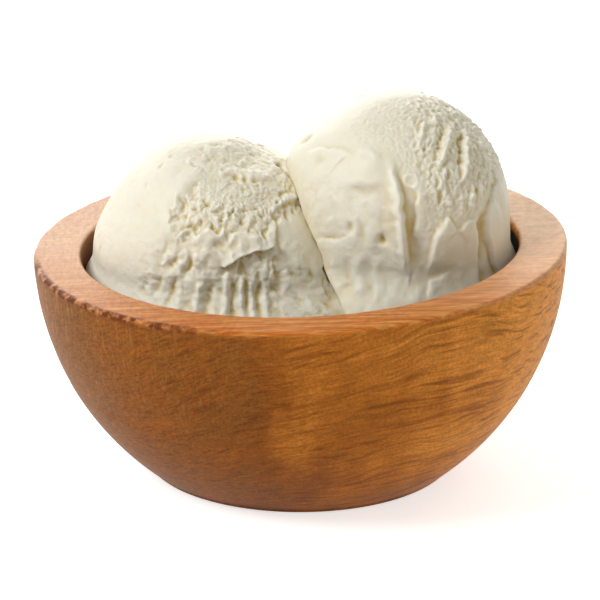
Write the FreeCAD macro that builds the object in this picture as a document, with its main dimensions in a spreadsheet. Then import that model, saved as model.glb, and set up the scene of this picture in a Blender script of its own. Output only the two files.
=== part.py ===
import FreeCAD, Part
import math
import os

import Mesh
import Sketcher

# Two scoops of ice cream in a turned wooden bowl. Millimetres, +Z up.
# The origin is the middle of the bowl's flat foot, on the surface that the bowl stands on.
# -Y is the front: seen from there the lower scoop is on the left and the higher one, which leans on
# it, on the right. Azimuths turn about a scoop's upright axis, 0 at the front and 90 at the right.

# Driving sizes: alias, value (mm, or degrees where the note says so), note.
SIZES = (
    ("outer_radius", 65.0, "bowl, outside of the wall at the rim"),
    ("rim_height", 56.0, "bowl, height of the rim's face on the axis"),
    ("rim_wall", 11.6, "bowl, width of the rim's flat face"),
    ("floor_thick", 11.0, "bowl, wood under the middle of the hollow"),
    ("foot_radius", 36.5, "bowl, flat foot"),
    ("rim_tilt", 2.0, "degrees that the hand-cut rim face rises towards the right"),
    ("rim_stock", 2.0, "bowl, wood over the rim's highest point for the sloping cut to take"),
    ("edge_round", 0.9, "bowl, rounding of both rim edges"),
    ("foot_round", 1.2, "bowl, rounding round the foot"),
    ("seat_gap", 0.25, "clearance between the ice cream and the wood, and between the scoops"),
    ("left_radius", 28.7, "left scoop, its ball"),
    ("left_rise", -2.5, "left scoop, height of its ball's centre over the rim"),
    ("right_radius", 27.3, "right scoop, its ball"),
    ("right_rise", 10.0, "right scoop, height of its ball's centre over the rim"),
    ("press_depth", 10.6, "how far the two balls are pressed into each other"),
    ("pair_shift", 0.9, "how far the pair sits to the right of the bowl's axis"),
    ("seam_lean", 25.2, "degrees that the face between the scoops leans from upright"),
    ("seam_shift", 4.1, "seam to the right of the pair's middle, at the height of both centres' mean"),
    ("seam_round", 2.2, "rounding where a scoop meets the seam or the wood"),
    ("left_skirt", 8.5, "left scoop, how far its melted base spreads"),
    ("right_skirt", 6.0, "right scoop, how far its melted base spreads"),
    ("skirt_drop", 14.0, "height over which a base spreads"),
    ("skirt_start", 2.0, "height over the rim at which a base starts to spread"),
)
AZIMUTH_STEPS = 60
ELEVATION_STEPS = 36
BISECTIONS = 40
TOUCH = 1e-6


def new_document():
    """The document and its spreadsheet of driving sizes."""
    doc = FreeCAD.newDocument("ice_cream_bowl")
    sheet = doc.addObject("Spreadsheet::Sheet", "Sizes")
    for row, (alias, value, note) in enumerate(SIZES, start=1):
        sheet.set(f"A{row}", alias)
        sheet.set(f"B{row}", str(value))
        sheet.set(f"C{row}", note)
        sheet.setAlias(f"B{row}", alias)
    doc.recompute()
    return doc, sheet


# ---------------------------------------------------------------- bowl


def origin_plane(body, role):
    return next(plane for plane in body.Origin.OriginFeatures if plane.Role == role)


def front_sketch(body, name):
    """A sketch on the body's XZ plane: its x is the part's X, its y the part's Z."""
    sketch = body.newObject("Sketcher::SketchObject", name)
    sketch.AttachmentSupport = [(origin_plane(body, "XZ_Plane"), "")]
    sketch.MapMode = "FlatFace"
    return sketch


def bind(sketch, kind, value, expression, *where):
    """Adds one dimension and ties it to the sheet."""
    index = sketch.addConstraint(Sketcher.Constraint(kind, *where, value))
    sketch.setExpression(f"Constraints[{index}]", expression)


def wall_profile(body, sheet):
    """Half section of the bowl: foot, outer arc, upright rim, inner arc and flat floor. The rim is
    drawn higher than it ends up, and the sloping cut takes it down."""
    sketch = front_sketch(body, "WallProfile")
    vector = FreeCAD.Vector
    outer, inner = sheet.outer_radius, sheet.outer_radius - sheet.rim_wall
    reach = outer * math.tan(math.radians(sheet.rim_tilt))
    spring = sheet.rim_height
    top = sheet.rim_height + reach + sheet.rim_stock
    inner_arc = spring - sheet.floor_thick
    outer_arc = ((outer - sheet.foot_radius) ** 2 + spring**2) / (2 * (outer - sheet.foot_radius))
    foot_angle = -math.asin(spring / outer_arc)

    def line(x0, z0, x1, z1):
        return sketch.addGeometry(Part.LineSegment(vector(x0, z0, 0), vector(x1, z1, 0)), False)

    def arc(x, z, radius, start, end):
        circle = Part.Circle(vector(x, z, 0), vector(0, 0, 1), radius)
        return sketch.addGeometry(Part.ArcOfCircle(circle, start, end), False)

    foot = line(0, 0, sheet.foot_radius, 0)
    outside = arc(outer - outer_arc, spring, outer_arc, foot_angle, 0)
    outer_rim = line(outer, spring, outer, top)
    face = line(outer, top, inner, top)
    inner_rim = line(inner, top, inner, spring)
    inside = arc(inner - inner_arc, spring, inner_arc, -math.pi / 2, 0)
    floor = line(inner - inner_arc, sheet.floor_thick, 0, sheet.floor_thick)
    axis = line(0, sheet.floor_thick, 0, 0)

    start, end, centre, root = 1, 2, 3, -1
    joints = (
        (foot, end, outside, start),
        (outside, end, outer_rim, start),
        (outer_rim, end, face, start),
        (face, end, inner_rim, start),
        (inner_rim, end, inside, end),
        (inside, start, floor, start),
        (floor, end, axis, start),
        (axis, end, foot, start),
    )
    for first, first_point, second, second_point in joints:
        sketch.addConstraint(Sketcher.Constraint("Coincident", first, first_point, second, second_point))
    sketch.addConstraint(Sketcher.Constraint("Coincident", foot, start, root, start))
    for flat in (foot, face, floor):
        sketch.addConstraint(Sketcher.Constraint("Horizontal", flat))
    for upright in (outer_rim, inner_rim, axis):
        sketch.addConstraint(Sketcher.Constraint("Vertical", upright))
    # both arcs leave the upright rim square to it, and the inner one meets the floor flat
    sketch.addConstraint(Sketcher.Constraint("Horizontal", outside, centre, outside, end))
    sketch.addConstraint(Sketcher.Constraint("Horizontal", inside, centre, inside, end))
    sketch.addConstraint(Sketcher.Constraint("Vertical", inside, centre, inside, start))

    reach_text = "Sizes.outer_radius * tan(Sizes.rim_tilt * 1deg)"
    top_text = f"Sizes.rim_height + {reach_text} + Sizes.rim_stock"
    bind(sketch, "DistanceX", sheet.foot_radius, "Sizes.foot_radius", foot, start, foot, end)
    bind(sketch, "DistanceX", outer, "Sizes.outer_radius", root, start, outer_rim, start)
    bind(sketch, "DistanceY", spring, "Sizes.rim_height", root, start, outer_rim, start)
    bind(sketch, "DistanceY", top, top_text, root, start, outer_rim, end)
    bind(sketch, "DistanceX", sheet.rim_wall, "Sizes.rim_wall", face, end, face, start)
    bind(sketch, "DistanceY", spring, "Sizes.rim_height", root, start, inner_rim, end)
    bind(sketch, "DistanceY", sheet.floor_thick, "Sizes.floor_thick", root, start, floor, end)
    return sketch


def rim_slope(body, sheet):
    """Everything above the rim's sloping face, as a closed outline seen from the front."""
    sketch = front_sketch(body, "RimSlope")
    vector = FreeCAD.Vector
    half = 2 * sheet.outer_radius
    fall = half * math.tan(math.radians(sheet.rim_tilt))
    sky = 2 * sheet.rim_height
    corners = (
        (-half, sheet.rim_height - fall),
        (half, sheet.rim_height + fall),
        (half, sky),
        (-half, sky),
    )
    edges = []
    for (x0, z0), (x1, z1) in zip(corners, corners[1:] + corners[:1]):
        edges.append(sketch.addGeometry(Part.LineSegment(vector(x0, z0, 0), vector(x1, z1, 0)), False))
    start, end, root = 1, 2, -1
    for first, second in zip(edges, edges[1:] + edges[:1]):
        sketch.addConstraint(Sketcher.Constraint("Coincident", first, end, second, start))
    slope, right, roof, left = edges
    sketch.addConstraint(Sketcher.Constraint("Vertical", right))
    sketch.addConstraint(Sketcher.Constraint("Vertical", left))
    sketch.addConstraint(Sketcher.Constraint("Horizontal", roof))
    fall_text = "2 * Sizes.outer_radius * tan(Sizes.rim_tilt * 1deg)"
    bind(sketch, "DistanceX", half, "2 * Sizes.outer_radius", slope, start, root, start)
    bind(sketch, "DistanceX", half, "2 * Sizes.outer_radius", root, start, slope, end)
    bind(sketch, "DistanceY", corners[0][1], f"Sizes.rim_height - {fall_text}", root, start, slope, start)
    bind(sketch, "DistanceY", corners[1][1], f"Sizes.rim_height + {fall_text}", root, start, slope, end)
    bind(sketch, "DistanceY", sky, "2 * Sizes.rim_height", root, start, roof, start)
    return sketch


def edges_where(feature, wanted):
    """The names of the feature's edges whose every sampled point is wanted."""
    names = []
    for index, edge in enumerate(feature.Shape.Edges, start=1):
        points = edge.discretize(9)
        if all(wanted(point) for point in points):
            names.append(f"Edge{index}")
    return names


def make_bowl(doc, sheet):
    body = doc.addObject("PartDesign::Body", "Bowl")
    body.Label = "bowl"
    turned = body.newObject("PartDesign::Revolution", "Turned")
    turned.Profile = wall_profile(body, sheet)
    turned.ReferenceAxis = (turned.Profile[0], ["V_Axis"])
    turned.Angle = 360.0
    doc.recompute()
    turned_volume = turned.Shape.Volume

    cut = body.newObject("PartDesign::Pocket", "RimFace")
    cut.Profile = rim_slope(body, sheet)
    cut.Type = "ThroughAll"
    cut.Midplane = True
    doc.recompute()
    if not cut.Shape.Volume < turned_volume:
        raise RuntimeError("the sloping rim cut took nothing off the bowl")

    slope = math.tan(math.radians(sheet.rim_tilt))

    def on_rim(point):
        return abs(point.z - sheet.rim_height - slope * point.x) < 1e-3

    def on_foot(point):
        away = abs(math.hypot(point.x, point.y) - sheet.foot_radius)
        return abs(point.z) < 1e-3 and away < 1e-3

    rim = body.newObject("PartDesign::Fillet", "RimEdges")
    rim.Base = (cut, edges_where(cut, on_rim))
    rim.setExpression("Radius", "Sizes.edge_round")
    doc.recompute()
    foot = body.newObject("PartDesign::Fillet", "FootEdge")
    foot.Base = (rim, edges_where(rim, on_foot))
    foot.setExpression("Radius", "Sizes.foot_round")
    body.Tip = foot
    doc.recompute()
    return body


# ---------------------------------------------------------------- scoops


def smooth_step(value):
    value = min(max(value, 0.0), 1.0)
    return value * value * (3 - 2 * value)


def soft_min(first, second, width):
    """The smaller of two lengths, rounded off where they are within width of each other."""
    blend = max(width - abs(first - second), 0.0) / width
    return min(first, second) - blend * blend * width / 4


def turn_between(azimuth, middle):
    """Degrees from middle to azimuth, the short way round."""
    return (azimuth - middle + 180.0) % 360.0 - 180.0


def mound(azimuth, elevation, at, wide, tall, height):
    """A rounded swelling, or a hollow where height is negative. at is its azimuth and elevation."""
    across = turn_between(azimuth, at[0]) * math.cos(math.radians(elevation)) / wide
    up = (elevation - at[1]) / tall
    return height * math.exp(-(across * across + up * up))


def shelf(azimuth, elevation, at, wide, edge, depth, tall):
    """A torn shelf: below the edge at elevation at[1] the surface falls back by depth, and comes
    out again over tall degrees."""
    window = math.exp(-((turn_between(azimuth, at[0]) / wide) ** 2))
    below = smooth_step((at[1] - elevation) / edge)
    back = smooth_step((at[1] - elevation - edge) / tall)
    return -depth * window * below * (1 - back)


def fold(azimuth, elevation, at, lean, thick, low, high, height):
    """A standing fold: a ridge that runs down the side from elevation high to low, leaning by lean
    degrees of azimuth for each degree that it falls."""
    middle = at + lean * (high - elevation)
    across = turn_between(azimuth, middle) / thick
    window = smooth_step((elevation - low) / 8.0) * smooth_step((high - elevation) / 8.0)
    return height * window * math.exp(-across * across)


def left_relief(azimuth, elevation):
    """Millimetres that the left scoop stands proud of its plain ball."""
    return (
        mound(azimuth, elevation, (-75, 30), 26, 16, -1.3)
        + mound(azimuth, elevation, (-90, 60), 30, 14, -1.1)
        + mound(azimuth, elevation, (-40, 60), 24, 12, 0.9)
        + mound(azimuth, elevation, (90, 66), 40, 12, -1.8)
        + mound(azimuth, elevation, (92, 42), 22, 10, 1.4)
        + mound(azimuth, elevation, (20, 36), 30, 13, -1.0)
        + mound(azimuth, elevation, (60, -3), 25, 30, 5.0)
        + mound(azimuth, elevation, (150, 40), 40, 20, 0.9)
        + mound(azimuth, elevation, (-140, 30), 35, 25, -0.8)
        + shelf(azimuth, elevation, (14, 24), 24, 10, 2.0, 22)
        + shelf(azimuth, elevation, (165, 18), 34, 12, 1.6, 20)
        + fold(azimuth, elevation, -24, 0.25, 9, 14, 54, 1.1)
        + fold(azimuth, elevation, 205, -0.3, 11, -20, 40, 1.2)
    )


def right_relief(azimuth, elevation):
    """Millimetres that the right scoop stands proud of its plain ball."""
    return (
        mound(azimuth, elevation, (-88, 28), 28, 15, 1.7)
        + mound(azimuth, elevation, (85, 46), 32, 18, -1.3)
        + mound(azimuth, elevation, (88, 22), 32, 16, -1.0)
        + mound(azimuth, elevation, (-25, 32), 16, 12, 1.2)
        + mound(azimuth, elevation, (35, -30), 22, 16, -1.0)
        + mound(azimuth, elevation, (140, 25), 38, 25, 1.2)
        + mound(azimuth, elevation, (-150, 20), 30, 25, 0.9)
        + shelf(azimuth, elevation, (-12, 22), 18, 10, 1.8, 22)
        + shelf(azimuth, elevation, (175, 12), 36, 12, 1.8, 20)
        + fold(azimuth, elevation, 0, 0.0, 7, -50, 22, 1.3)
        + fold(azimuth, elevation, -38, 0.0, 14, -50, 20, 1.0)
        + fold(azimuth, elevation, 28, 0.0, 11, -60, 4, 1.2)
        + fold(azimuth, elevation, 45, 0.1, 6, -60, 2, -1.6)
        + fold(azimuth, elevation, 61, 0.0, 11, -60, 4, 1.0)
        + fold(azimuth, elevation, 215, -0.2, 10, -30, 30, 1.3)
    )


def ray_length(start, direction, inside, longest):
    """How far a ray from start stays inside, found by halving."""
    near, far = 0.0, longest
    for _ in range(BISECTIONS):
        middle = (near + far) / 2
        if inside(start + direction * middle):
            near = middle
        else:
            far = middle
    return near


def hollow_test(sheet):
    """True for a point of the bowl's hollow, or above it, that keeps seat_gap from the wood."""
    arc = sheet.rim_height - sheet.floor_thick
    floor_radius = sheet.outer_radius - sheet.rim_wall - arc

    def inside(point):
        out = max(math.hypot(point.x, point.y) - floor_radius, 0.0)
        down = min(point.z - sheet.rim_height, 0.0)
        return math.hypot(out, down) < arc - sheet.seat_gap

    return inside


def ball_test(centre, radius, skirt, sheet):
    """True inside a ball that goes on down as a round body, with a base that spreads."""
    start = sheet.rim_height + sheet.skirt_start

    def inside(point):
        away = math.hypot(point.x - centre.x, point.y - centre.y)
        if point.z > centre.z:
            return math.hypot(away, point.z - centre.z) < radius
        spread = smooth_step((min(start, centre.z) - point.z) / sheet.skirt_drop)
        return away < radius + skirt * spread

    return inside


def scoop_shape(sheet, centre, radius, skirt, relief, seam_point, seam_normal):
    """One closed solid of flat triangles. seam_normal points from the seam into the scoop."""
    hollow = hollow_test(sheet)
    ball = ball_test(centre, radius, skirt, sheet)
    longest = 2 * (sheet.outer_radius + sheet.rim_height)

    def skin(azimuth, elevation):
        turn, rise = math.radians(azimuth), math.radians(elevation)
        level = math.cos(rise)
        direction = FreeCAD.Vector(math.sin(turn) * level, -math.cos(turn) * level, math.sin(rise))
        length = ray_length(centre, direction, ball, longest) + relief(azimuth, elevation)
        length = soft_min(length, ray_length(centre, direction, hollow, longest), sheet.seam_round)
        towards = direction.dot(seam_normal)
        if towards < -TOUCH:
            room = (centre - seam_point).dot(seam_normal) - sheet.seat_gap / 2
            length = soft_min(length, -room / towards, sheet.seam_round)
        return centre + direction * length

    rings = []
    for step in range(1, ELEVATION_STEPS):
        elevation = 90.0 - 180.0 * step / ELEVATION_STEPS
        ring = [skin(360.0 * turn / AZIMUTH_STEPS, elevation) for turn in range(AZIMUTH_STEPS)]
        rings.append(ring)
    top, bottom = skin(0.0, 90.0), skin(0.0, -90.0)

    triangles = []
    for turn in range(AZIMUTH_STEPS):
        after = (turn + 1) % AZIMUTH_STEPS
        triangles.append((top, rings[0][turn], rings[0][after]))
        triangles.append((bottom, rings[-1][after], rings[-1][turn]))
        for upper, lower in zip(rings, rings[1:]):
            triangles.append((upper[turn], lower[turn], lower[after]))
            triangles.append((upper[turn], lower[after], upper[after]))

    mesh = Mesh.Mesh([list(map(tuple, triangle)) for triangle in triangles])
    shell = Part.Shape()
    shell.makeShapeFromMesh(mesh.Topology, 1e-4)
    solid = Part.makeSolid(shell)
    if solid.Volume < 0:
        solid.reverse()
    return solid


def make_scoops(doc, sheet):
    """Both scoops, which meet at one leaning plane."""
    half = (sheet.left_radius + sheet.right_radius - sheet.press_depth) / 2
    left = FreeCAD.Vector(sheet.pair_shift - half, 0, sheet.rim_height + sheet.left_rise)
    right = FreeCAD.Vector(sheet.pair_shift + half, 0, sheet.rim_height + sheet.right_rise)
    seam_point = (left + right) * 0.5 + FreeCAD.Vector(sheet.seam_shift, 0, 0)
    lean = math.radians(sheet.seam_lean)
    to_right = FreeCAD.Vector(math.cos(lean), 0, math.sin(lean))
    plans = (
        ("scoop_left", left, sheet.left_radius, sheet.left_skirt, left_relief, -to_right),
        ("scoop_right", right, sheet.right_radius, sheet.right_skirt, right_relief, to_right),
    )
    made = []
    for label, centre, radius, skirt, relief, normal in plans:
        scoop = doc.addObject("Part::Feature", label)
        scoop.Label = label
        scoop.Shape = scoop_shape(sheet, centre, radius, skirt, relief, seam_point, normal)
        scoop.Placement = FreeCAD.Placement()
        made.append(scoop)
    return made


# ---------------------------------------------------------------- output


def check(doc, parts):
    for item in doc.Objects:
        if "Invalid" in item.State or "Error" in item.State:
            raise RuntimeError(f"{item.Name} did not build: {item.State}")
    for item in parts:
        if item.Shape.isNull() or not item.Shape.isValid():
            raise RuntimeError(f"{item.Label} has no valid shape")
        if not item.Shape.Solids:
            raise RuntimeError(f"{item.Label} holds no solid")


def main():
    doc, sheet = new_document()
    parts = [make_bowl(doc, sheet), *make_scoops(doc, sheet)]
    doc.recompute()
    check(doc, parts)
    os.makedirs("parts", exist_ok=True)
    for item in parts:
        item.Shape.exportStep(f"parts/{item.Label}.step")
        box = item.Shape.BoundBox
        volume = item.Shape.Volume / 1000
        print(f"{item.Label}: {box.XLength:.1f} x {box.YLength:.1f} x {box.ZLength:.1f} mm, {volume:.1f} cm3")


main()
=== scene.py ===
"""Two scoops of vanilla ice cream in a small turned wooden bowl.

Lengths are millimetres until a mesh is made; materials, lamps and the camera are in metres. +Z is
up and -Y is the front. A place on a scoop is given as (azimuth, elevation) in degrees about the
scoop's centre: azimuth 0 faces the front and 90 the right.
"""

import math

import bmesh
import bpy
import numpy as np
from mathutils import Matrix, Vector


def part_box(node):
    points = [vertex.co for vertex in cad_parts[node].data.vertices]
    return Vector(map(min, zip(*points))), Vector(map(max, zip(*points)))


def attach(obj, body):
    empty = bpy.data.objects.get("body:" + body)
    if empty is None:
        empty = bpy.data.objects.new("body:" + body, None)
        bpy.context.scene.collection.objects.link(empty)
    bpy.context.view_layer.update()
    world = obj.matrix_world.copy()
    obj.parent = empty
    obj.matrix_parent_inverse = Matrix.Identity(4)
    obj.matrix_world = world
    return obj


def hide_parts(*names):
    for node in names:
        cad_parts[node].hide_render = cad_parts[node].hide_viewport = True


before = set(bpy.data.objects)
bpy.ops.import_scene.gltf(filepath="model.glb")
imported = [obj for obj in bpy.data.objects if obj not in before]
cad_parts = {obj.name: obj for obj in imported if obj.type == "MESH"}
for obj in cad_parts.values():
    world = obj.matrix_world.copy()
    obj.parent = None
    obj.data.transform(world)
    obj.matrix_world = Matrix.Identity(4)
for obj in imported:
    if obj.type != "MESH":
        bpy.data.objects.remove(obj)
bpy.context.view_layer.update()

MM = 0.001

# ---------------------------------------------------------------- sizes

bowl_low, bowl_high = (np.array(corner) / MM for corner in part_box("bowl"))
OUTER = (bowl_high[1] - bowl_low[1]) / 2
WALL = 11.6
RIM = 56.0
FLOOR = 11.0
FOOT = 36.5
SLOPE = (bowl_high[2] - RIM) / OUTER
INNER = OUTER - WALL
INNER_ARC = RIM - FLOOR
OUTER_ARC = ((OUTER - FOOT) ** 2 + RIM**2) / (2 * (OUTER - FOOT))
GAP = 0.2
SEAM_GAP = 0.02
SKIRT_ABOVE_RIM = 2.0
SKIRT_DROP = 14.0
FOOT_ROUND = 1.2
FLOOR_ROUND = 1.0

# points along a bowl's ring, cells along an edge of a scoop's cube, and where those lie closer
TURNS = 640
CUBE_CELLS = 126
DENSE_SIDE = (0.0, -0.30, 0.26)

LEFT = {"centre": np.array([-21.8, 0.0, 53.5]), "radius": 28.7, "skirt": 8.5, "side": -1}
RIGHT = {"centre": np.array([23.6, 0.0, 66.0]), "radius": 27.3, "skirt": 6.0, "side": 1}
SEAM = np.array([5.0, 0.0, 59.75])
LEAN = math.radians(25.2)
TO_RIGHT = np.array([math.cos(LEAN), 0.0, math.sin(LEAN)])

# ---------------------------------------------------------------- noise


def hashed(x, y, z, seed):
    """A pseudo-random 32-bit number for each cell of a grid."""
    with np.errstate(over="ignore"):
        value = x * np.uint32(0x8DA6B343) ^ y * np.uint32(0xD8163841) ^ z * np.uint32(0xCB1AB31F)
        value = value + np.uint32(seed * 0x9E3779B1 % 2**32)
        for shift, factor in ((15, 0x2C1B3C6D), (12, 0x297A2D39)):
            value ^= value >> np.uint32(shift)
            value = value * np.uint32(factor)
        value ^= value >> np.uint32(15)
    return value


def fractions(value):
    """Three numbers from 0 to 1 out of each 32-bit number."""
    return [((value >> np.uint32(shift)) & np.uint32(1023)) / 1023.0 for shift in (0, 10, 20)]


def grid_cells(points):
    cell = np.floor(points)
    return cell.astype(np.int64).astype(np.uint32), points - cell


def noise(points, size=1.0, seed=0):
    """Smooth noise of about -1 to 1 whose features are about size across."""
    cell, part = grid_cells(np.asarray(points) / size)
    ease = part**3 * (part * (part * 6 - 15) + 10)
    total = np.zeros(len(part))
    for corner in np.ndindex(2, 2, 2):
        value = hashed(*(cell[:, axis] + np.uint32(corner[axis]) for axis in range(3)), seed)
        slope = 0
        weight = 1
        for axis, fraction in enumerate(fractions(value)):
            slope = slope + (2 * fraction - 1) * (part[:, axis] - corner[axis])
            weight = weight * (ease[:, axis] if corner[axis] else 1 - ease[:, axis])
        total += weight * slope
    return total * 1.5


def fractal(points, size, octaves=3, seed=0):
    return sum(noise(points, size / 2**k, seed + k) / 2**k for k in range(octaves))


def grains(points, size=1.0, seed=0):
    """Distance to the nearest of scattered points about size apart, in units of size."""
    cell, part = grid_cells(np.asarray(points) / size)
    nearest = np.full(len(part), 9.0)
    for step in np.ndindex(3, 3, 3):
        step = np.array(step) - 1
        with np.errstate(over="ignore"):
            moved = (cell[:, axis] + np.uint32(step[axis] % 2**32) for axis in range(3))
            value = hashed(*moved, seed)
        spot = np.stack(fractions(value), 1) + step
        nearest = np.minimum(nearest, np.linalg.norm(spot - part, axis=1))
    return nearest


# ---------------------------------------------------------------- shaping tools


def smooth(value, low=0.0, high=1.0):
    value = np.clip((value - low) / (high - low), 0, 1)
    return value * value * (3 - 2 * value)


def soft_min(first, second, width):
    blend = np.clip(width - np.abs(first - second), 0, None) / width
    return np.minimum(first, second) - blend * blend * width / 4


def turn_between(azimuth, middle):
    return (azimuth - middle + 180.0) % 360.0 - 180.0


def compass(azimuth, elevation):
    turn, rise = np.radians(azimuth), np.radians(elevation)
    level = np.cos(rise)
    return np.stack([np.sin(turn) * level, -np.cos(turn) * level, np.sin(rise)], -1)


def reach(start, directions, inside, longest=260.0):
    """How far each ray from start stays inside, found by halving."""
    near = np.zeros(len(directions))
    far = np.full(len(directions), longest)
    for _ in range(32):
        middle = (near + far) / 2
        kept = inside(start + directions * middle[:, None])
        near = np.where(kept, middle, near)
        far = np.where(kept, far, middle)
    return near


def in_hollow(points):
    """Inside the bowl's hollow, or above it, and clear of the wood."""
    out = np.maximum(np.hypot(points[:, 0], points[:, 1]) - (INNER - INNER_ARC), 0)
    down = np.minimum(points[:, 2] - RIM, 0)
    return np.hypot(out, down) < INNER_ARC - GAP


def in_ball(scoop):
    centre, radius = scoop["centre"], scoop["radius"]
    start = min(RIM + SKIRT_ABOVE_RIM, centre[2])

    def inside(points):
        away = np.hypot(points[:, 0] - centre[0], points[:, 1] - centre[1])
        above = points[:, 2] - centre[2]
        spread = radius + scoop["skirt"] * smooth((start - points[:, 2]) / SKIRT_DROP)
        return np.where(above > 0, np.hypot(away, above) < radius, away < spread)

    return inside


def bearings(directions):
    """Azimuth and elevation of directions, in degrees."""
    level = np.hypot(directions[:, 0], directions[:, 1])
    turn = np.arctan2(directions[:, 0], -directions[:, 1])
    return np.degrees(turn), np.degrees(np.arctan2(directions[:, 2], level))


def sphere_grid(count, towards):
    """Directions and quads of a cube blown up to a ball, with more points in one direction."""
    index = {}
    quads = []
    corners = []

    def corner(spot):
        if spot not in index:
            index[spot] = len(corners)
            corners.append(spot)
        return index[spot]

    for axis in range(3):
        for end in (0, count):
            for u in range(count):
                for v in range(count):
                    ring = []
                    for du, dv in ((0, 0), (1, 0), (1, 1), (0, 1)):
                        spot = [0, 0, 0]
                        spot[axis] = end
                        spot[(axis + 1) % 3] = u + du
                        spot[(axis + 2) % 3] = v + dv
                        ring.append(corner(tuple(spot)))
                    quads.append(ring if end else ring[::-1])
    cube = np.tan((2 * np.array(corners) / count - 1) * math.pi / 4)
    ball = cube / np.linalg.norm(cube, axis=1)[:, None]
    ball = ball + np.array(towards)
    return ball / np.linalg.norm(ball, axis=1)[:, None], np.array(quads)


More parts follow.
